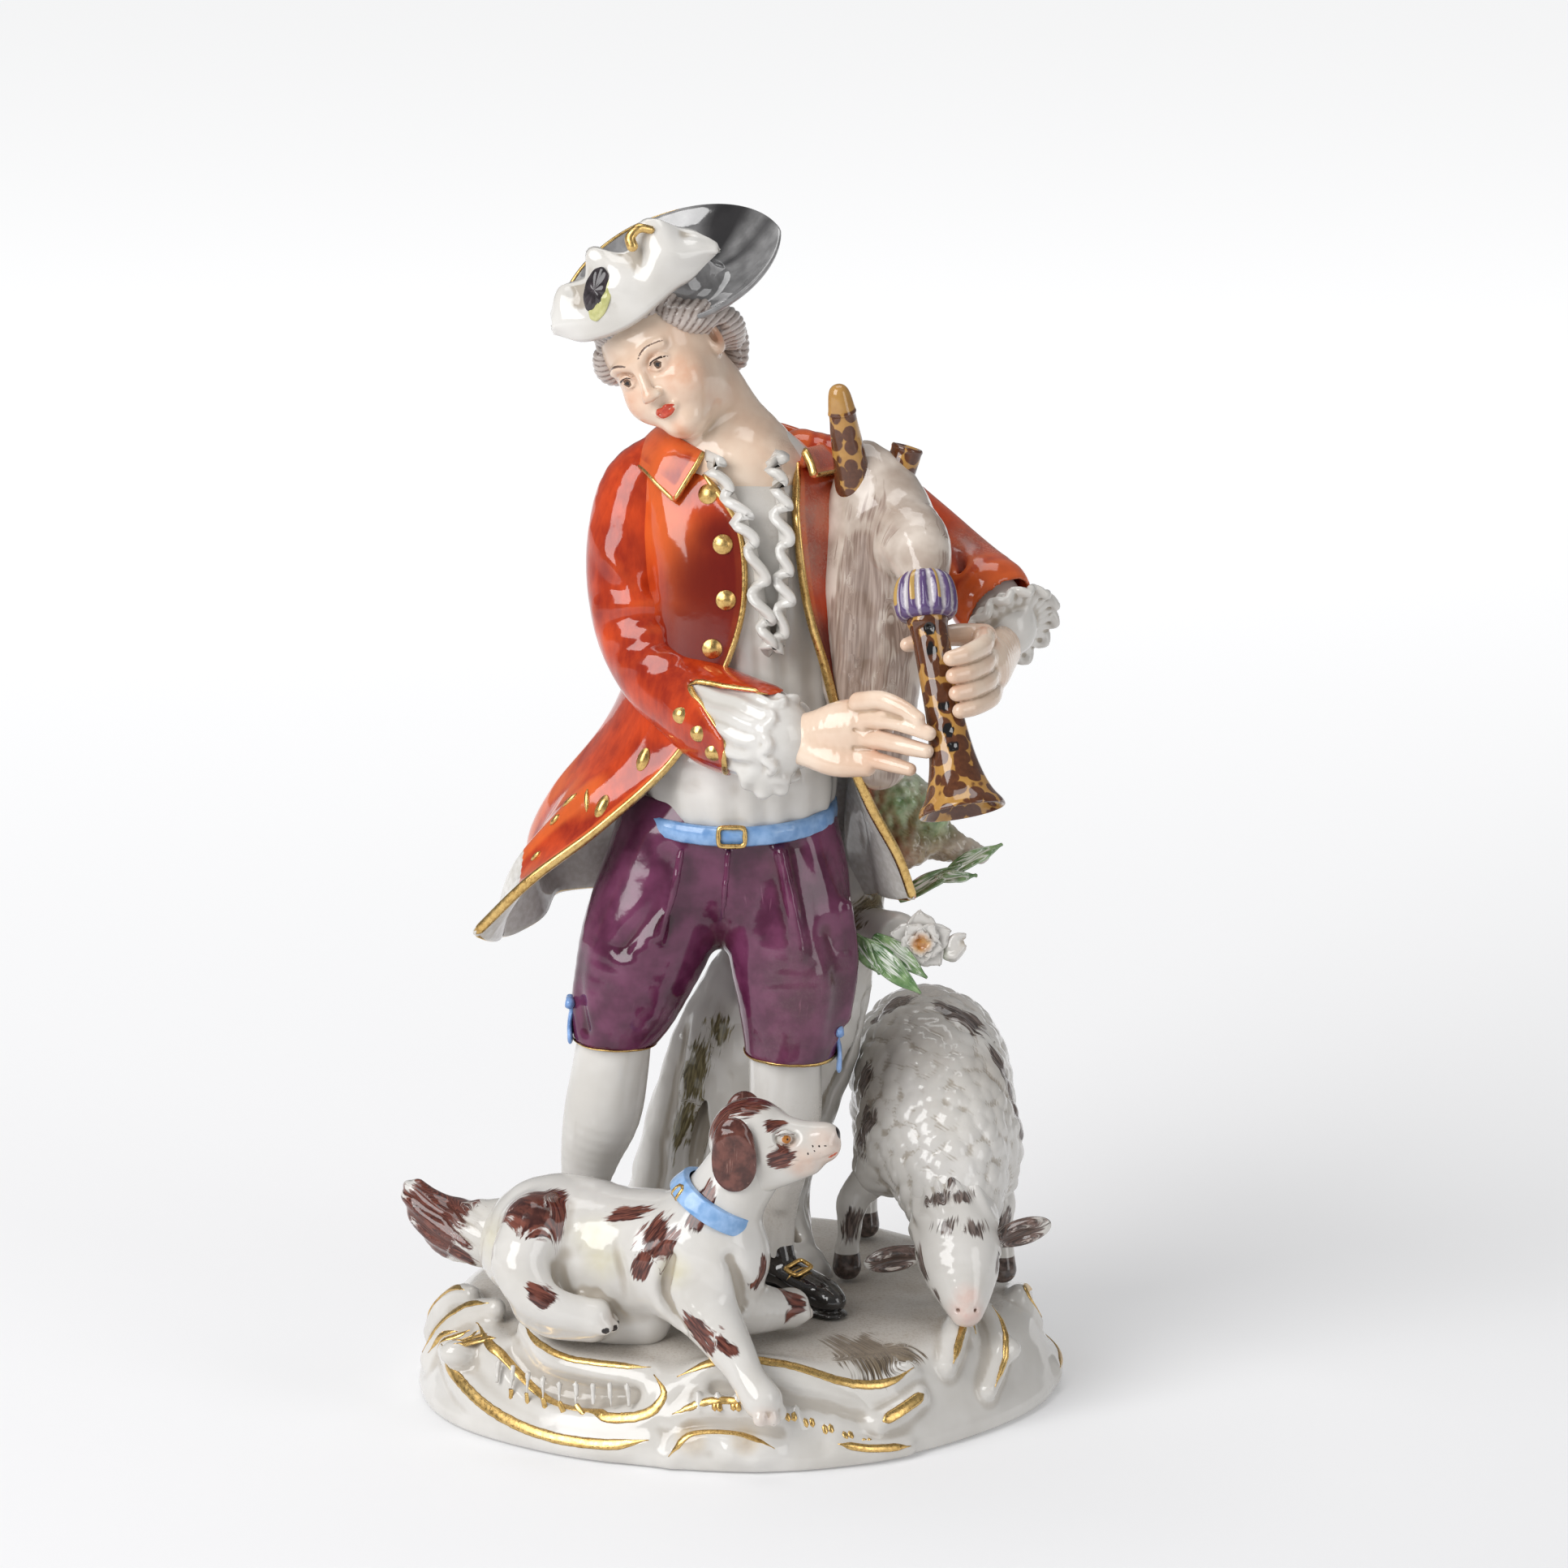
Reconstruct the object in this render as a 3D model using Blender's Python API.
"""Porcelain group of a standing piper with a resting dog and a grazing sheep on a scrolled base.

Each named object is one casting as the repairer luted it to its neighbours before the glaze firing.
Places are millimetres from the middle of the flat underside: +X to the piper's left, +Y to the back,
+Z up. Soft forms are balls and limbs fused together, then cut back from what they lean on.
"""

import math
from functools import partial

import bmesh
import bpy
from mathutils import Euler, Matrix, Vector

MM = 0.001
SEAM = 0.35  # clearance between neighbouring castings
UPWARD, LEFTWARD = Vector((0, 0, 1)), Vector((1, 0, 0))  # LEFTWARD is the piper's left
BASE_MIDDLE = Vector((-1.0, 5.0, 0.0))
BASE_RADII = (62.5, 57.5)
BASE_TOP = 20.0
VENT_RADIUS = 3.5
VENT_DEPTH = 8.0
COAT_THICKNESS = 2.3
LAPEL_BUTTON, CUFF_BUTTON = 2.0, 1.5

GLAZES = {
    "white_glaze": ((0.86, 0.86, 0.84), 0.12),
    "red_enamel": ((0.62, 0.07, 0.02), 0.12),
    "purple_enamel": ((0.20, 0.035, 0.13), 0.14),
    "blue_enamel": ((0.22, 0.42, 0.72), 0.16),
    "flesh_enamel": ((0.85, 0.66, 0.54), 0.16),
    "hair_enamel": ((0.20, 0.14, 0.11), 0.2),
    "black_enamel": ((0.015, 0.013, 0.014), 0.1),
    "shell_enamel": ((0.45, 0.22, 0.06), 0.1),
    "leather_enamel": ((0.62, 0.54, 0.48), 0.16),
    "leaf_enamel": ((0.30, 0.52, 0.27), 0.2),
    "brown_enamel": ((0.16, 0.05, 0.035), 0.16),
    "gilding": ((0.72, 0.48, 0.12), 0.28),
}


def turn(yaw, lean, nod):
    """Turns a form that faces the front: nod tips it forward, lean aside, and yaw turns it about +Z."""
    spin = Matrix.Rotation(math.radians(yaw), 3, "Z")
    tip_aside = Matrix.Rotation(math.radians(lean), 3, "Y")
    tip_forward = Matrix.Rotation(math.radians(nod), 3, "X")
    return spin @ tip_aside @ tip_forward


HEAD_MIDDLE = Vector((-14.3, -3.0, 206.2))
HEAD_TURN = turn(-30, -25, 12)
HAT_MIDDLE = Vector((-11.8, -1.0, 217.3))
HAT_TURN = turn(0, -27, 24)
HAT_RADIUS = 22.6


def glaze(slot):
    """The Principled material of one paint or glaze, made once."""
    material = bpy.data.materials.get(slot)
    if material is None:
        colour, roughness = GLAZES[slot]
        material = bpy.data.materials.new(slot)
        material.use_nodes = True
        shader = material.node_tree.nodes["Principled BSDF"]
        shader.inputs["Base Color"].default_value = (*colour, 1.0)
        shader.inputs["Roughness"].default_value = roughness
        shader.inputs["Metallic"].default_value = 1.0 if slot == "gilding" else 0.0
    return material


def add_object(name, bm, slot):
    """An object from a bmesh in millimetres."""
    bmesh.ops.scale(bm, vec=(MM, MM, MM), verts=bm.verts)
    bmesh.ops.recalc_face_normals(bm, faces=bm.faces)
    mesh = bpy.data.meshes.new(name)
    bm.to_mesh(mesh)
    bm.free()
    mesh.materials.append(glaze(slot))
    obj = bpy.data.objects.new(name, mesh)
    bpy.context.scene.collection.objects.link(obj)
    return obj


def apply_modifiers(obj):
    """Turns the object's modifiers into mesh, keeping its largest closed shell."""
    bpy.context.view_layer.update()
    graph = bpy.context.evaluated_depsgraph_get()
    mesh = bpy.data.meshes.new_from_object(obj.evaluated_get(graph))
    obj.modifiers.clear()
    obj.data = mesh
    keep_largest_shell(mesh)
    mesh.shade_smooth()


def keep_largest_shell(mesh):
    bm = bmesh.new()
    bm.from_mesh(mesh)
    unseen = set(bm.verts)
    shells = []
    while unseen:
        stack = [unseen.pop()]
        shell = set(stack)
        while stack:
            for edge in stack.pop().link_edges:
                for vert in edge.verts:
                    if vert in unseen:
                        unseen.discard(vert)
                        shell.add(vert)
                        stack.append(vert)
        shells.append(shell)
    shells.sort(key=len, reverse=True)
    spare = [vert for shell in shells[1:] for vert in shell]
    bmesh.ops.delete(bm, geom=spare, context="VERTS")
    bm.to_mesh(mesh)
    bm.free()


def catmull_rom(a, b, c, d, t):
    """Between b and c on the smooth curve through a, b, c and d."""
    return (
        2 * b + (c - a) * t + (2 * a - 5 * b + 4 * c - d) * t**2 + (3 * b - a - 3 * c + d) * t**3
    ) / 2


def smooth_line(points, steps):
    """Points on the smooth curve through the given ones, steps to each span."""
    stations = [Vector(p) for p in points]
    stations = [2 * stations[0] - stations[1], *stations, 2 * stations[-1] - stations[-2]]
    line = [
        catmull_rom(*stations[i : i + 4], step / steps)
        for i in range(len(stations) - 3)
        for step in range(steps)
    ]
    return [*line, stations[-2]]


def ring_around(bm, centre, along, across, wide, deep, sides):
    """One loop of vertices in the plane across the given direction."""
    side = (across - across.dot(along) * along).normalized()
    front = along.cross(side)
    corners = []
    for i in range(sides):
        angle = 2 * math.pi * i / sides
        place = centre + side * wide * math.cos(angle) + front * deep * math.sin(angle)
        corners.append(bm.verts.new(place))
    return corners


def skin(bm, rings):
    """Closes a row of equal rings into one shell with flat ends."""
    count = len(rings[0])
    for lower, upper in zip(rings, rings[1:]):
        for i in range(count):
            j = (i + 1) % count
            bm.faces.new((lower[i], lower[j], upper[j], upper[i]))
    bm.faces.new(rings[0][::-1])
    bm.faces.new(rings[-1])


def dome(before, end):
    """Two more (centre, radius) stations that round off a limb past its end."""
    along = (end[0] - before[0]).normalized()
    swell = ((0.5, 0.84), (0.85, 0.45))
    return [(end[0] + along * end[1] * rise, end[1] * wide) for rise, wide in swell]


def limb(bm, stations, sides=12, steps=3, flatness=1.0, across=(1, 0, 0), domed=True):
    """A rounded tube through (x, y, z, radius) stations. flatness is its depth over its width."""
    line = smooth_line([Vector((*s[:3], s[3])).to_4d() for s in stations], steps)
    points = [(Vector(p[:3]), p[3]) for p in line]
    if domed:
        points = [*dome(points[1], points[0])[::-1], *points, *dome(points[-2], points[-1])]
    rings = []
    for i, (centre, radius) in enumerate(points):
        before, after = points[max(i - 1, 0)][0], points[min(i + 1, len(points) - 1)][0]
        along = (after - before).normalized()
        rings.append(ring_around(bm, centre, along, Vector(across), radius, radius * flatness, sides))
    skin(bm, rings)


def ball(bm, centre, radii, turn=Matrix.Identity(3), level=2):
    """An ellipsoid."""
    matrix = Matrix.Translation(Vector(centre)) @ turn.to_4x4() @ Matrix.Diagonal((*radii, 1))
    bmesh.ops.create_icosphere(bm, subdivisions=level, radius=1.0, matrix=matrix)


def stack(bm, sections, sides=20):
    """A standing form through (x, y, z, half width, half depth) ellipses."""
    rings = []
    for x, y, z, wide, deep in sections:
        rings.append(ring_around(bm, Vector((x, y, z)), UPWARD, LEFTWARD, wide, deep, sides))
    skin(bm, rings)


def turned(bm, foot, head, profile, sides=20):
    """A turned form on the axis from foot to head. The profile is (share of the axis, radius), and may
    run back inside to make a hollow end."""
    foot, head = Vector(foot), Vector(head)
    along = (head - foot).normalized()
    rings = []
    for share, radius in profile:
        rings.append(ring_around(bm, foot.lerp(head, share), along, LEFTWARD, radius, radius, sides))
    skin(bm, rings)


def sheet(bm, rows, thickness, steps=2):
    """A shell of even thickness over a grid of points, smooth both ways. It grows to its inner side."""
    lines = [smooth_line(row, steps) for row in rows]
    columns = [smooth_line(column, steps) for column in zip(*lines)]
    verts = [[bm.verts.new(point) for point in column] for column in columns]
    faces = []
    for left, right in zip(verts, verts[1:]):
        for i in range(len(left) - 1):
            faces.append(bm.faces.new((left[i], right[i], right[i + 1], left[i + 1])))
    bm.normal_update()
    bmesh.ops.solidify(bm, geom=faces, thickness=thickness)


def fuse(name, slot, build, voxel=1.3, triangles=400, smoothing=3):
    """One casting from overlapping shells, remeshed as clay would join, then smoothed and thinned."""
    bm = bmesh.new()
    build(bm)
    obj = add_object(name, bm, slot)
    remesh = obj.modifiers.new("clay", "REMESH")
    remesh.mode = "VOXEL"
    remesh.voxel_size = voxel * MM
    soften = obj.modifiers.new("soften", "SMOOTH")
    soften.factor = 0.5
    soften.iterations = smoothing
    apply_modifiers(obj)
    obj.data.calc_loop_triangles()
    thin = obj.modifiers.new("thin", "DECIMATE")
    thin.ratio = min(1.0, triangles / len(obj.data.loop_triangles))
    thin.use_collapse_triangulate = True
    apply_modifiers(obj)
    return obj


def plain(name, slot, build):
    """One casting whose shell is used as it is built."""
    bm = bmesh.new()
    build(bm)
    obj = add_object(name, bm, slot)
    bmesh_clean(obj)
    obj.data.shade_smooth()
    return obj


def bmesh_clean(obj):
    bm = bmesh.new()
    bm.from_mesh(obj.data)
    bmesh.ops.triangulate(bm, faces=bm.faces)
    bmesh.ops.recalc_face_normals(bm, faces=bm.faces)
    bm.to_mesh(obj.data)
    bm.free()


def box_of(obj):
    corners = [vert.co for vert in obj.data.vertices]
    low = Vector([min(c[i] for c in corners) for i in range(3)])
    high = Vector([max(c[i] for c in corners) for i in range(3)])
    return low, high


def boxes_meet(a, b):
    (low_a, high_a), (low_b, high_b) = box_of(a), box_of(b)
    room = 2 * SEAM * MM
    return all(low_a[i] - room < high_b[i] and low_b[i] - room < high_a[i] for i in range(3))


def clearance_of(obj):
    """A hidden copy of the object grown by the seam, used to cut its neighbours back."""
    cutter = bpy.data.objects.new(obj.name + "_clearance", obj.data.copy())
    bpy.context.scene.collection.objects.link(cutter)
    grow = cutter.modifiers.new("grow", "DISPLACE")
    grow.mid_level = 0.0
    grow.strength = SEAM * MM
    apply_modifiers(cutter)
    cutter.hide_render = True
    cutter.display_type = "WIRE"
    return cutter


def cut_back(obj, cutters):
    for cutter in cutters:
        cut = obj.modifiers.new("seam", "BOOLEAN")
        cut.operation = "DIFFERENCE"
        cut.object = cutter
        apply_modifiers(obj)


# ---------------------------------------------------------------- base and tree


def base_outline(angle, scale):
    """The foot's outline: an oval with five shallow scroll lobes."""
    lobe = 1.0 + 0.018 * math.cos(5 * angle + 0.6)
    return Vector(
        (
            BASE_MIDDLE.x + BASE_RADII[0] * scale * lobe * math.cos(angle),
            BASE_MIDDLE.y + BASE_RADII[1] * scale * lobe * math.sin(angle),
        )
    )


def build_base(bm):
    """Foot, waisted wall, rolled rim and mounded top."""
    sides = 32
    levels = (
        (0.0, 1.0), (2.5, 1.01), (6.0, 0.99), (11.0, 0.955), (15.0, 0.94), (17.6, 0.90), (19.2, 0.80),
        (20.0, 0.5),
    )
    rings = []
    for z, scale in levels:
        ring = [base_outline(2 * math.pi * i / sides, scale) for i in range(sides)]
        rings.append([bm.verts.new((p.x, p.y, z * BASE_TOP / 20.0)) for p in ring])
    skin(bm, rings)


def make_base():
    """The base, with a blind vent sunk in its flat underside."""
    base = plain("base", "white_glaze", build_base)
    vent = bmesh.new()
    turned(vent, (1, -8, -2), (1, -8, VENT_DEPTH), ((0, VENT_RADIUS), (1, VENT_RADIUS)), sides=16)
    cutter = add_object("base_vent", vent, "white_glaze")
    cutter.hide_render = True
    cutter.display_type = "WIRE"
    cut = base.modifiers.new("vent", "BOOLEAN")
    cut.operation = "DIFFERENCE"
    cut.object = cutter
    apply_modifiers(base)
    return base


def build_trunk(bm):
    """A leaning stump that spreads at its foot and carries a side branch."""
    stations = (
        (-6, 20, 19, 21), (-3, 18, 40, 18), (2.5, 16, 58, 18.5), (8, 14, 72, 17.5), (14, 13, 86, 13),
        (21, 13, 98, 8),
        (28, 14, 110, 5.5),
    )
    limb(bm, stations, sides=14, flatness=0.66)
    limb(bm, ((14, 12, 80, 7), (24, 8, 89, 5), (31, 2, 91.5, 3.6)), sides=10)
    limb(bm, ((-14, 20, 27, 8), (-28, 22, 20, 5)), sides=10)


def build_upper_branch(bm):
    """The broken bough end behind the coat tail, with its mossy lump."""
    limb(bm, ((29, 14, 108, 4.5), (35, 13, 108, 4), (44, 12, 105, 2.2)), sides=10)
    ball(bm, (30.5, 13, 115.5), (6, 5, 6.5))
    ball(bm, (36.5, 12, 113), (4.5, 4, 5))


def leaf(bm, foot, tip, width, thickness=1.2):
    """A pointed leaf as a flat spindle from foot to tip."""
    foot, tip = Vector(foot), Vector(tip)
    outline = ((0, 0.35), (0.3, 0.95), (0.6, 1.0), (0.85, 0.6), (1.0, 0.25))
    stations = [(*foot.lerp(tip, share), width * wide) for share, wide in outline]
    limb(bm, stations, sides=8, steps=1, flatness=thickness / width, domed=False)


def build_lower_leaves(bm):
    leaf(bm, (23.5, -7, 92), (34.5, -11, 83), 2.6, 1.4)
    leaf(bm, (27, -5, 92), (35, -8, 85.5), 2.4, 1.4)


def build_upper_leaves(bm):
    leaf(bm, (33, 5, 98), (43, 7, 104), 2.0, 1.6)
    leaf(bm, (41, 7, 102.5), (50.5, 9, 107), 2.0, 1.6)


def build_blossom(bm):
    """Five petals round a button, facing the front."""
    middle = Vector((35.0, -5.0, 91.5))
    ball(bm, middle, (2.4, 2.2, 2.4))
    for i in range(5):
        angle = math.radians(72 * i + 20)
        out = Vector((math.cos(angle), -0.25, math.sin(angle)))
        ball(bm, middle + out * 3.0, (2.2, 1.1, 2.2))


def build_bud(bm):
    ball(bm, (41.0, -4.0, 89.5), (2.3, 2.2, 2.8))
    limb(bm, ((38.2, -3.5, 89.5, 1.3), (40, -4, 89.5, 1.4)), sides=8)


# ---------------------------------------------------------------- the piper's dress


def coat_rows():
    """Points round the open coat at each height, from its right front edge by the back to its left."""
    return (
        (
            (-9, -7, 189), (-13, -2, 190), (-9, 7, 191), (2, 10.5, 192), (11, 8, 191), (15, 1, 189.5),
            (11.5, -8, 188),
        ),
        (
            (-4, -13, 182), (-17, -6, 183), (-16, 9, 184), (2, 14, 185), (17, 10, 184), (20, -2, 183),
            (11.5, -12, 182),
        ),
        (
            (1, -16, 174), (-15, -12, 174), (-20, 6, 174), (2, 16.5, 174), (21, 9, 174), (22, -6, 174),
            (11.5, -15.5, 175),
        ),
        (
            (2, -18, 160), (-13, -15, 160), (-20.5, 4, 160), (2, 17, 160), (22, 9, 160), (23, -6, 160),
            (13.5, -17, 160),
        ),
        (
            (-2.5, -18.5, 146), (-15, -14.5, 146), (-21, 4, 146), (1, 16.5, 146), (21, 9, 146),
            (23, -6, 147), (17, -17.5, 148),
        ),
        (
            (-12.2, -19, 131), (-22, -13, 132), (-25.5, 5, 133), (0, 18, 132), (21, 11, 132),
            (24, -4, 132), (21, -17, 133),
        ),
        (
            (-26, -19, 118), (-33.5, -10, 119), (-34, 7, 119), (-3, 22, 119), (20, 15, 119),
            (24.5, 0, 120), (25.5, -14, 121),
        ),
        (
            (-40, -17, 107), (-43, -3, 105), (-38, 13, 107), (-6, 25, 107), (19, 18, 107),
            (25, 5, 109), (31, -11, 110),
        ),
        (
            (-51, -11, 95), (-45.5, 1, 91.5), (-34, 15, 97), (-7, 27, 97), (18, 20, 97), (26, 9, 98),
            (34, -8, 101),
        ),
    )


def build_coat(bm):
    rows = [row[::-1] for row in coat_rows()]
    sheet(bm, rows, COAT_THICKNESS)


def build_collar(bm):
    """A turned-down collar that runs round the neck with a pointed end on each side."""
    rows = (
        (
            (-4.5, -11.5, 187), (-12, -6.5, 190.5), (-14.5, 3, 193), (-7, 11, 194.5),
            (4, 13, 195), (13, 9, 193.5), (16.5, 1, 191.5), (12.5, -9.5, 190),
        ),
        (
            (-9, -14.5, 181), (-17, -9.5, 184), (-20, 3.5, 187), (-10, 15.5, 188.5),
            (4, 17.5, 189), (17, 13, 188), (21, 0.5, 187), (15, -12.5, 186),
        ),
    )
    sheet(bm, [row[::-1] for row in rows], 1.8)


def build_shirt(bm):
    sections = (
        (-1, -3, 117.5, 17, 13), (-0.5, -4, 121, 18.5, 15.5), (1, -3, 130, 18, 14.5),
        (2, -2, 146, 17.5, 14),
        (2, -2, 160, 18, 14.2), (2, -1, 173, 17.5, 13), (2, 0, 182, 13.5, 10.5), (2.5, 1, 188, 9, 8),
    )
    stack(bm, sections, sides=16)


def build_jabot(bm):
    """The frilled shirt front as two wavy folds that meet low on the chest."""
    shares = [i / 8 for i in range(9)]
    right, left = [], []
    for t in shares:
        height = 184 - 34 * t
        right.append((0.5 + 9.5 * t + 1.5 * math.sin(9 * t), -14 - 6 * t + 3 * t * t, height, 2.2))
        left.append(
            (10 + 2.5 * t + 1.2 * math.sin(8 * t + 2), -12.5 - 7 * t + 3.5 * t * t, height, 2.0),
        )
    limb(bm, right, sides=8, steps=1)
    limb(bm, left, sides=8, steps=1)
    limb(bm, ((11, -16.5, 156, 2.8), (12.5, -17, 146, 2.2)), sides=8)


def build_breeches(bm):
    sections = (
        (-1, -3, 116.5, 18, 14), (-2, -2.5, 111, 21.5, 15.5), (-3, -2.5, 103, 24, 16),
        (-3.5, -2.5, 96, 23.5, 15),
    )
    stack(bm, sections, sides=16)
    ball(bm, (-4, -4, 94), (11, 11, 7.5))
    right = ((-14, -3, 104, 12.5), (-17, -5, 94, 13.4), (-20.5, -6.5, 81, 12), (-23, -7, 70.5, 8.2))
    left = ((8.5, -4, 104, 12.5), (9.5, -7, 94, 12.8), (10, -9.5, 81, 11.6), (9, -10.5, 70.5, 9))
    limb(bm, right, sides=14, domed=False)
    limb(bm, left, sides=14, domed=False)


def waist_line(angle, grow):
    """A point on the waist's oval, which lies lower at the front."""
    x = -1 + (18.6 + grow) * math.cos(angle)
    y = -3 + (15.2 + grow) * math.sin(angle)
    return Vector((x, y, 117.6 + 2.0 * math.sin(angle)))


def build_belt(bm):
    """A flat band round the waist."""
    sides = 24
    corners = ((0, 1.7), (1.1, 1.7), (1.1, -1.7), (0, -1.7))
    rings = []
    for i in range(sides):
        point = [waist_line(2 * math.pi * i / sides, grow) + Vector((0, 0, rise)) for grow, rise in corners]
        rings.append([bm.verts.new(p) for p in point])
    for i in range(sides):
        here, there = rings[i], rings[(i + 1) % sides]
        for j in range(4):
            k = (j + 1) % 4
            bm.faces.new((here[j], there[j], there[k], here[k]))


def frame_plate(bm, middle, face, up, wide, high, rim, thick):
    """A rectangular buckle: an open frame lying across the face direction."""
    face, up = Vector(face).normalized(), Vector(up)
    up = (up - up.dot(face) * face).normalized()
    side = up.cross(face)
    middle = Vector(middle)
    corners = ((-1, -1), (1, -1), (1, 1), (-1, 1))
    loops = []
    for shrink, depth in ((0, 0), (0, thick), (rim, thick), (rim, 0)):
        half_wide, half_high = wide / 2 - shrink, high / 2 - shrink
        loop = [middle + side * a * half_wide + up * b * half_high + face * depth for a, b in corners]
        loops.append([bm.verts.new(place) for place in loop])
    for m in range(4):
        here, there = loops[m], loops[(m + 1) % 4]
        for i in range(4):
            j = (i + 1) % 4
            bm.faces.new((here[i], here[j], there[j], there[i]))


def build_belt_buckle(bm):
    frame_plate(bm, (-1.3, -19.95, 115.6), (0, -1, 0.1), (0, 0, 1), 6.0, 4.4, 0.9, 1.0)


def build_shoe_buckle(bm):
    frame_plate(bm, (11.4, -13.2, 29.3), (0.35, -0.45, 0.82), (0.55, -0.6, -0.5), 4.4, 3.8, 0.8, 1.0)


def build_stocking_left(bm):
    stations = (
        (8.8, -10.5, 74, 7), (8.9, -9.5, 61, 7), (8.6, -8, 50, 5.6), (7.6, -7.5, 36, 3.4),
        (7.2, -7, 29, 3.3),
    )
    limb(bm, stations, sides=12, domed=False)


def build_stocking_right(bm):
    stations = (
        (-23.5, -7, 74, 7), (-25.9, -5, 61, 7.8), (-28.8, -3.5, 49, 5.9), (-31.5, -2, 35, 3.5),
        (-32.5, -1.5, 27, 3.2),
    )
    limb(bm, stations, sides=12, domed=False)


def shoe(bm, heel, toe):
    """A low shoe from heel to toe, with its tongue standing at the instep."""
    heel, toe = Vector(heel), Vector(toe)
    across = (toe - heel).cross(Vector((0, 0, 1)))
    points = [(0.0, 3.4, 3.4), (0.3, 3.7, 3.2), (0.6, 4.0, 2.2), (0.85, 3.9, 0.8), (1.0, 3.0, 0.0)]
    stations = []
    for share, radius, rise in points:
        stations.append((*(heel.lerp(toe, share) + UPWARD * rise * 0.55), radius))
    limb(bm, stations, sides=12, flatness=0.8, across=across)
    instep = heel.lerp(toe, 0.3)
    limb(
        bm,
        ((instep.x, instep.y, heel.z + 2, 3.2), (instep.x - 0.4, instep.y + 0.6, heel.z + 6.5, 3.1)),
        sides=12,
    )


def build_shoe_left(bm):
    shoe(bm, (5.0, -5.0, 24.2), (17.5, -17.0, 22.6))


def build_shoe_right(bm):
    shoe(bm, (-33.0, 0.0, 24.2), (-38.0, -14.5, 22.6))


def bow(bm, knot, out):
    """A garter bow: a knot, two loops and two hanging ends."""
    knot, out = Vector(knot), Vector(out)
    ball(bm, knot, (1.0, 1.0, 1.0), level=1)
    ball(bm, knot + out * 0.6 + Vector((0, -1.2, 1.1)), (1.2, 1.3, 1.3), level=1)
    ball(bm, knot + out * 0.6 + Vector((0, 1.4, 0.6)), (1.2, 1.3, 1.2), level=1)
    limb(bm, ((*knot, 0.8), (*(knot + out * 0.5 + Vector((0, -0.8, -5.5))), 1.2)), sides=8)


def build_knee_bow_right(bm):
    bow(bm, (-32.0, -8.0, 79.0), (-1, 0, 0))


def build_knee_bow_left(bm):
    bow(bm, (18.6, -12.5, 74.5), (1, 0, 0))


# ---------------------------------------------------------------- arms, cuffs and hands


def build_sleeve_right(bm):
    stations = (
        (-15, 1, 183, 6.5), (-19.5, 0, 177, 8.2), (-20.5, -1.5, 164, 8.6), (-18.5, -5, 151, 8.4),
        (-14, -10, 144.5, 8.2),
        (-8, -16, 141, 8.4), (-3.5, -20.5, 138.5, 9.2),
    )
    limb(bm, stations, sides=14, domed=False)


def build_sleeve_left(bm):
    stations = (
        (14, 5, 183, 6), (22, 6, 179, 7.5), (33, 6, 170, 7.4), (43, 1, 162.5, 7.2),
        (48.5, -6, 158.5, 8),
    )
    limb(bm, stations, sides=14, domed=False)


def build_shirt_cuff_right(bm):
    """The shirt sleeve that widens out of the coat cuff into a hanging frill."""
    limb(
        bm,
        (
            (-4.5, -20, 138.6, 7.2), (1, -24.5, 137, 8.6), (6, -28, 135.5, 8.4),
            (10.5, -30.5, 137.2, 4.6),
        ),
        sides=14,
    )
    limb(bm, ((5.5, -29, 133, 4.5), (5.5, -28.5, 127.5, 3)), sides=10)


def build_shirt_cuff_left(bm):
    """A round frill standing about the wrist."""
    ball(bm, (51.5, -9.5, 153), (4.2, 5.0, 11), Euler((0, 0.35, 0.5)).to_matrix(), level=3)
    limb(bm, ((49, -6.5, 157, 6), (51, -10, 153.5, 5.5)), sides=12)


def build_hand_right(bm):
    palm = ((9.5, -30, 137.3, 3.7), (15, -32, 138, 4.6), (21, -34, 140, 5.6), (25.5, -35.5, 141.5, 4.6))
    limb(bm, palm, sides=12, flatness=0.62, across=(0, 0.2, 1))
    tips = (
        (5.2, 33.5, 143.5, 1.5), (1.8, 35.4, 141.6, 1.6), (-1.6, 35.2, 138.4, 1.6),
        (-4.6, 32.0, 134.8, 1.45),
    )
    for rise, tip_x, tip_z, radius in tips:
        knuckle = (23, -35.5, 141 + rise * 0.75, radius + 0.3)
        joint = (29, -41, 141.3 + rise * 0.85, radius + 0.1)
        limb(bm, (knuckle, joint, (tip_x, -44.5, tip_z, radius)), sides=8)


def build_hand_left(bm):
    """The hand that closes round the chanter from its left, with the thumb behind."""
    palm = ((51, -11.5, 150.5, 4), (49, -18, 150, 5), (47, -25, 149.5, 5.4), (45.5, -30, 149.5, 4.6))
    limb(bm, palm, sides=12, flatness=0.62, across=(0, 0.2, 1))
    for i in range(4):
        z = 155 - 3.1 * i
        x = 0.5 * i
        knuckle = (45 + x, -29, z, 1.9)
        joint = (44 + x, -36, z - 0.2, 1.9)
        bend = (41 + x, -42 - x, z - 0.6, 1.8)
        tip = (37.4 + x, -43 - x, z - 1, 1.6)
        limb(bm, (knuckle, joint, bend, tip), sides=8)
    limb(bm, ((45.5, -26, 154.5, 2.2), (39, -27.5, 155.5, 2), (31.5, -30, 154.7, 1.6)), sides=8)


# ---------------------------------------------------------------- head, hair and hat


def in_head(x, y, z):
    """A point given in the head's own frame: x to its left, y to its back, z to its crown."""
    return HEAD_MIDDLE + HEAD_TURN @ Vector((x, y, z))


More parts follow.
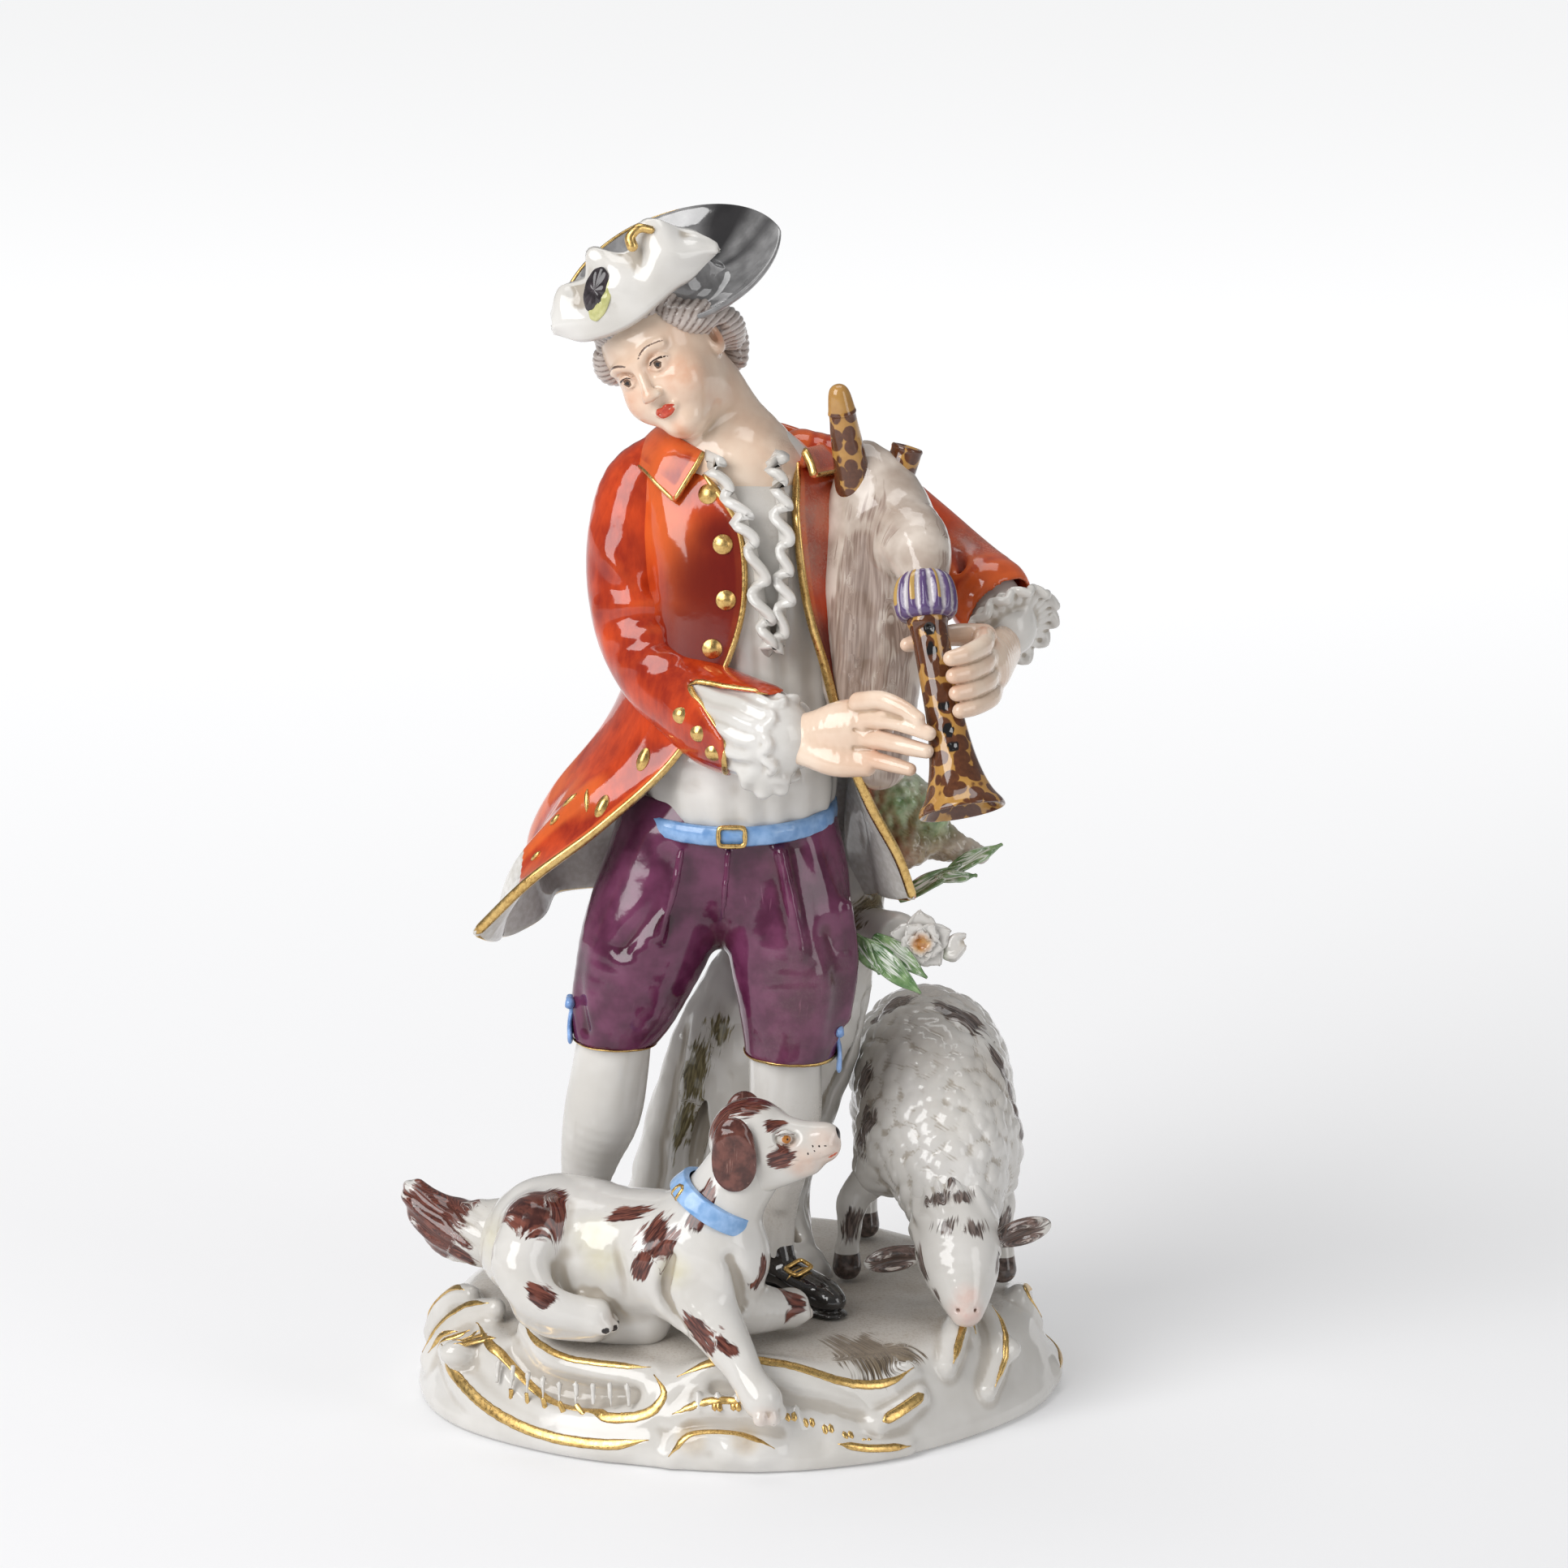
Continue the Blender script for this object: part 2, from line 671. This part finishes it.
def build_head(bm):
    """A plain egg-shaped head on its neck."""
    ball(bm, in_head(0, 1.0, 2.5), (10.4, 12.2, 10.2), HEAD_TURN, level=3)
    ball(bm, in_head(0, -2.5, -5.0), (8.4, 9.0, 9.6), HEAD_TURN, level=3)
    ball(bm, in_head(0, -8.0, -11.4), (3.8, 3.2, 3.2), HEAD_TURN)
    ball(bm, in_head(0, -11.8, -2.6), (1.6, 2.0, 2.9), HEAD_TURN)
    neck = in_head(0, 3, -5)
    limb(bm, ((2.5, 1, 181, 8.5), (0.5, 1.2, 190, 7.6), (*neck, 7.4)), sides=14)


def build_hair(bm):
    """Hair swept back over the ears into a short queue."""
    ball(bm, in_head(0, 3.4, 3.0), (11.2, 11.2, 10.4), HEAD_TURN, level=3)
    for side in (-1, 1):
        path = ((-4, 4, 2.0), (2, 1, 3.2), (7, -2, 3.0))
        roll = [(*in_head(side * 9.8, y, z), r) for y, z, r in path]
        limb(bm, roll, sides=10)
    queue = [(*in_head(3, y, z), r) for y, z, r in ((13, 0, 3.6), (14.5, -5, 3.2), (13.5, -9, 2.2))]
    limb(bm, queue, sides=10)


def in_hat(x, y, z):
    return HAT_MIDDLE + HAT_TURN @ Vector((x, y, z))


def hat_rim(angle):
    """Radius and lift of the brim's edge: wide and rolled up behind, short and turned up in front."""
    back = (1 + math.sin(angle)) / 2
    radius = HAT_RADIUS * (0.52 + 0.48 * min(1.0, 1.7 * back) ** 0.8)
    return radius, 1.5 + 3.0 * back


def hat_ring(bm, share, height, sides):
    """One ring of the hat. The crown stands nearer the front than the brim's middle."""
    shift = Vector((-3.0, -1.5, 0)) * (1 - share)
    ring = []
    for i in range(sides):
        angle = 2 * math.pi * i / sides
        radius, lift = hat_rim(angle)
        crown = min(1.0, share / 0.5)
        radius = radius + (HAT_RADIUS - radius) * (1 - crown) * 0.5
        rise = height + max(0.0, (share - 0.5) / 0.5) ** 1.7 * lift
        place = Vector((radius * share * math.cos(angle), radius * share * math.sin(angle), rise))
        ring.append(bm.verts.new(in_hat(*(place + shift))))
    return ring


def build_hat(bm):
    """A low crown in a wide rolled brim, as one shell."""
    outside = ((0.26, 7.0), (0.4, 5.6), (0.47, 2.5), (0.55, 0.9), (0.75, 0.6), (0.92, 0.8), (1.0, 0.7))
    underside = ((0.97, -0.6), (0.75, -1.0), (0.5, -0.8))
    rings = [hat_ring(bm, share, height, 24) for share, height in (*outside, *underside)]
    skin(bm, rings)


def build_plume(bm):
    """The ostrich plume standing along the front of the hat, with its tip curled at the right."""
    stations = (
        (-33.4, -10, 212, 2.6), (-30.8, -12.5, 213.8, 5), (-25.7, -14.5, 217.3, 7.2),
        (-19.7, -15.5, 220.8, 7.6),
        (-13.5, -15, 223.7, 7.8), (-7.4, -12.5, 225.7, 5.2), (-4.6, -10, 226.8, 3),
    )
    limb(bm, stations, sides=12, flatness=0.28, across=(0.3, -0.1, 1))


def build_hat_loop(bm):
    """The small loop and button that hold the plume."""
    limb(bm, ((-17.5, -14, 228, 1.2), (-19, -15.5, 231, 1.1), (-17, -16, 232, 1.0)), sides=8)


# ---------------------------------------------------------------- bagpipe

CHANTER_TOP, CHANTER_BELL = (34.9, -31.6, 162.2), (41.6, -46.5, 126.8)


def build_bag(bm):
    body = (
        (24, -8, 184, 5.5), (26, -9, 178, 9), (27, -10, 168, 11), (25.5, -11, 154, 10.4),
        (25, -12, 140, 8.8),
        (26.5, -12.5, 130, 6),
    )
    limb(bm, body, sides=14, flatness=0.8)
    limb(bm, ((29.5, -14, 173, 7.5), (33.5, -21, 172, 6.6), (34.6, -26.5, 168.5, 5)), sides=12)


def build_stock(bm):
    """The gathered leather sleeve that ties the chanter to the bag."""
    profile = ((0, 3.6), (0.2, 4.8), (0.55, 5.8), (0.9, 5.6), (1.0, 4.2))
    turned(bm, (34.6, -28.6, 168.2), (35.3, -32.4, 160.4), profile, sides=14)


def build_chanter(bm):
    """A tapered pipe with a flared, hollow bell."""
    outside = ((0, 3.6), (0.1, 3.9), (0.35, 3.5), (0.55, 3.5), (0.75, 4.4), (0.9, 6.2), (1.0, 8.0))
    inside = ((1.01, 7.7), (0.95, 5.6), (0.85, 3.2), (0.82, 1.6))
    turned(bm, CHANTER_TOP, CHANTER_BELL, (*outside, *inside), sides=16)


def build_drone(bm):
    profile = ((0, 3.4), (0.1, 3.5), (0.5, 2.9), (0.85, 2.2), (0.95, 1.8), (1.0, 0.8))
    turned(bm, (22, -11.5, 181.5), (18.6, -15.2, 201.5), profile, sides=12)


def build_drone_stump(bm):
    turned(bm, (29.7, -8.5, 182), (32.0, -8.0, 188.5), ((0, 3.0), (0.7, 2.9), (1.0, 2.6)), sides=10)


# ---------------------------------------------------------------- dog


def build_dog_body(bm):
    body = (
        (-38, -22, 36, 11.5), (-34, -23.5, 36.5, 13.5), (-22, -29, 35, 12.5), (-10, -35, 35.5, 12.5),
        (-4, -37, 37, 11),
    )
    limb(bm, body, sides=16)
    limb(bm, ((-6, -37, 42, 9.5), (-1.5, -38, 50, 7.6), (2, -38, 56, 7)), sides=14)
    hind_leg = (
        (-39, -33, 43, 6), (-41, -35.5, 37, 6.6), (-38, -36, 31, 5.2), (-32, -34, 27, 4.2),
        (-27, -32, 25, 3.8),
    )
    limb(bm, hind_leg, sides=12)
    limb(
        bm, ((-7, -41, 30, 6.5), (-2, -47, 25, 5), (2, -51.5, 19.5, 4.1), (5.2, -54.5, 14, 4)),
        sides=12,
    )
    limb(bm, ((-2, -37, 28, 6), (4, -33, 25.5, 5), (9, -28.5, 24, 4.2)), sides=12)


def build_dog_head(bm):
    ball(bm, (2.6, -38.5, 61.3), (8.2, 7.4, 8), level=3)
    limb(bm, ((5, -39.5, 60, 6.8), (11, -41, 60.6, 5.4), (15.8, -42, 62, 4)), sides=12)


def build_dog_ear_near(bm):
    ball(bm, (-1.2, -46.3, 60), (4.6, 1.7, 7.6), Euler((0.1, 0.05, -0.15)).to_matrix(), level=2)


def build_dog_ear_far(bm):
    ball(bm, (1.0, -30.7, 61), (4.4, 1.6, 7.2), Euler((-0.1, 0.05, 0.15)).to_matrix(), level=2)


def build_dog_tail(bm):
    limb(
        bm,
        ((-46, -19, 37.5, 6.6), (-52, -16.5, 36.5, 6.4), (-58.5, -14, 38.5, 5), (-62, -12.5, 42, 3.4)),
        sides=12,
    )


def build_dog_collar(bm):
    """A flat band round the dog's neck, square to it."""
    foot, head = Vector((-5.3, -38.2, 47.2)), Vector((-3.2, -38.6, 50.6))
    along = (head - foot).normalized()
    rings = []
    sides = 18
    for centre, radius in ((foot, 7.0), (foot, 9.6), (head, 8.8), (head, 6.4)):
        rings.append(ring_around(bm, centre, along, LEFTWARD, radius, radius, sides))
    for i in range(4):
        lower, upper = rings[i], rings[(i + 1) % 4]
        for j in range(sides):
            k = (j + 1) % sides
            bm.faces.new((lower[j], lower[k], upper[k], upper[j]))


# ---------------------------------------------------------------- sheep


def build_sheep_body(bm):
    stations = (
        (37, 33, 56, 12), (37, 28, 58.5, 15), (38, 17, 57, 15.8), (39.5, 6, 50.5, 14.4),
        (41, -3, 43.5, 11),
        (42, -9.5, 37, 8.2),
    )
    limb(bm, stations, sides=16)


def build_sheep_head(bm):
    limb(
        bm,
        ((42, -12.5, 35.5, 6.8), (42.6, -16, 32, 7.3), (43.2, -22, 27.4, 5.4), (43.6, -26, 24, 3.8)),
        sides=14,
    )


def build_sheep_ear_right(bm):
    ball(bm, (29.8, -13.5, 29.6), (6, 1.7, 2.9), Euler((0.2, -0.15, 0.1)).to_matrix())


def build_sheep_ear_left(bm):
    ball(bm, (54.8, -13.5, 35.4), (5.8, 1.7, 2.9), Euler((0.2, -0.35, -0.1)).to_matrix())


def sheep_leg(bm, joints):
    """A thin leg through its hip, knee and hoof."""
    hip, knee, hoof = joints
    limb(bm, ((*hip, 5), (*knee, 3.1), (hoof[0], hoof[1], hoof[2] + 6, 2.7), (*hoof, 3.3)), sides=10)


SHEEP_LEGS = {
    "sheep_leg_front_right": ((29, 5, 45), (22, 5, 36), (21, 4.5, 22.5)),
    "sheep_leg_front_left": ((48, 6, 44), (51, 5, 36), (51.5, 4, 22)),
    "sheep_leg_back_right": ((28, 31, 46), (25.5, 34, 35), (25, 34, 22)),
    "sheep_leg_back_left": ((47, 31, 46), (49.5, 34, 35), (49.5, 34, 21.5)),
}


# ---------------------------------------------------------------- buttons

LAPEL_BUTTONS = ((-4.8, -16.4, 180.2), (-2.0, -18.2, 171.0), (-1.4, -18.9, 160.6), (-4.2, -18.0, 151.6))
CUFF_BUTTONS = ((-11.2, -23.8, 141.0), (-9.5, -24.2, 137.2), (-8.0, -23.5, 133.5))
TAIL_BUTTONS = ((-18.6, -18.4, 130.2), (-26.8, -18.6, 121.6))


def button(name, host, near, radius):
    """A domed button bedded in the host's surface at the place nearest to the given point."""
    _, place, normal, _ = host.closest_point_on_mesh(Vector(near) * MM)
    middle = place / MM + normal * 0.45 * radius
    return plain(name, "gilding", lambda bm: ball(bm, middle, (radius, radius, radius)))


# ---------------------------------------------------------------- assembly


def make_castings():
    """Every casting, in the order in which one keeps its shape and a later one gives way to it."""
    made = [make_base()]
    made.append(plain("coat", "red_enamel", build_coat))
    made.append(plain("coat_collar", "red_enamel", build_collar))
    made.append(fuse("coat_sleeve_right", "red_enamel", build_sleeve_right, triangles=300))
    made.append(fuse("coat_sleeve_left", "red_enamel", build_sleeve_left, triangles=260))
    made.append(fuse("head", "flesh_enamel", build_head, voxel=1.0, triangles=520))
    made.append(plain("hat", "black_enamel", build_hat))
    made.append(fuse("hat_plume", "white_glaze", build_plume, voxel=0.8, triangles=220))
    made.append(fuse("hat_loop", "gilding", build_hat_loop, voxel=0.5, triangles=80))
    made.append(fuse("hair", "hair_enamel", build_hair, voxel=1.0, triangles=280))
    made.append(plain("belt_buckle", "gilding", build_belt_buckle))
    made.append(plain("belt", "blue_enamel", build_belt))
    made.append(fuse("breeches", "purple_enamel", build_breeches, voxel=1.5, triangles=420))
    made.append(plain("chanter", "shell_enamel", build_chanter))
    made.append(plain("chanter_stock", "purple_enamel", build_stock))
    made.append(plain("drone", "shell_enamel", build_drone))
    made.append(plain("drone_stump", "shell_enamel", build_drone_stump))
    made.append(
        fuse("hand_right", "flesh_enamel", build_hand_right, voxel=0.6, triangles=400, smoothing=2),
    )
    made.append(
        fuse("hand_left", "flesh_enamel", build_hand_left, voxel=0.6, triangles=440, smoothing=2),
    )
    made.append(
        fuse("shirt_cuff_right", "white_glaze", build_shirt_cuff_right, voxel=1.0, triangles=240),
    )
    made.append(fuse("shirt_cuff_left", "white_glaze", build_shirt_cuff_left, voxel=1.0, triangles=220))
    made.append(fuse("bag", "leather_enamel", build_bag, voxel=1.2, triangles=300))
    made.append(fuse("jabot", "white_glaze", build_jabot, voxel=0.9, triangles=220))
    made.append(fuse("shirt", "white_glaze", build_shirt, voxel=1.6, triangles=240))
    made.append(fuse("shoe_left", "black_enamel", build_shoe_left, voxel=0.9, triangles=200))
    made.append(fuse("shoe_right", "black_enamel", build_shoe_right, voxel=0.9, triangles=180))
    made.append(plain("shoe_buckle", "gilding", build_shoe_buckle))
    made.append(fuse("stocking_left", "white_glaze", build_stocking_left, voxel=1.0, triangles=200))
    made.append(fuse("stocking_right", "white_glaze", build_stocking_right, voxel=1.0, triangles=200))
    made.append(
        fuse(
            "knee_bow_left", "blue_enamel", build_knee_bow_left, voxel=0.5, triangles=120, smoothing=2,
        ),
    )
    made.append(
        fuse(
            "knee_bow_right", "blue_enamel", build_knee_bow_right, voxel=0.5, triangles=120,
            smoothing=2,
        ),
    )
    for group, host, places, radius in (
        ("lapel_button", made[1], LAPEL_BUTTONS, LAPEL_BUTTON),
        ("tail_button", made[1], TAIL_BUTTONS, CUFF_BUTTON),
        ("cuff_button", made[3], CUFF_BUTTONS, CUFF_BUTTON),
    ):
        for i, near in enumerate(places):
            made.append(button(f"{group}_{i + 1}", host, near, radius))
    made.append(plain("dog_collar", "blue_enamel", build_dog_collar))
    made.append(fuse("dog_body", "white_glaze", build_dog_body, voxel=1.3, triangles=640))
    made.append(fuse("dog_head", "white_glaze", build_dog_head, voxel=0.9, triangles=300))
    made.append(fuse("dog_ear_right", "brown_enamel", build_dog_ear_near, voxel=0.7, triangles=120))
    made.append(fuse("dog_ear_left", "brown_enamel", build_dog_ear_far, voxel=0.7, triangles=120))
    made.append(fuse("dog_tail", "brown_enamel", build_dog_tail, voxel=0.9, triangles=200))
    made.append(fuse("sheep_body", "white_glaze", build_sheep_body, voxel=1.5, triangles=360))
    made.append(fuse("sheep_head", "white_glaze", build_sheep_head, voxel=0.9, triangles=220))
    made.append(
        fuse("sheep_ear_right", "brown_enamel", build_sheep_ear_right, voxel=0.6, triangles=100),
    )
    made.append(fuse("sheep_ear_left", "brown_enamel", build_sheep_ear_left, voxel=0.6, triangles=100))
    for name, joints in SHEEP_LEGS.items():
        made.append(
            fuse(name, "white_glaze", partial(sheep_leg, joints=joints), voxel=0.8, triangles=140),
        )
    made.append(fuse("tree_trunk", "white_glaze", build_trunk, voxel=1.5, triangles=380))
    made.append(fuse("upper_branch", "leaf_enamel", build_upper_branch, voxel=1.0, triangles=240))
    made.append(fuse("blossom", "white_glaze", build_blossom, voxel=0.6, triangles=240, smoothing=2))
    made.append(fuse("bud", "leaf_enamel", build_bud, voxel=0.6, triangles=100))
    made.append(
        fuse("lower_leaves", "leaf_enamel", build_lower_leaves, voxel=0.5, triangles=160, smoothing=1),
    )
    made.append(
        fuse("upper_leaves", "leaf_enamel", build_upper_leaves, voxel=0.5, triangles=160, smoothing=1),
    )
    return made


def assemble(castings):
    """Cuts each casting back from those before it that it touches, so that a fine seam parts them."""
    cutters = {}
    for i, piece in enumerate(castings):
        near = [other for other in castings[:i] if boxes_meet(piece, other)]
        for other in near:
            if other.name not in cutters:
                cutters[other.name] = clearance_of(other)
        cut_back(piece, [cutters[other.name] for other in near])


def main():
    for obj in list(bpy.data.objects):
        bpy.data.objects.remove(obj)
    assemble(make_castings())


main()
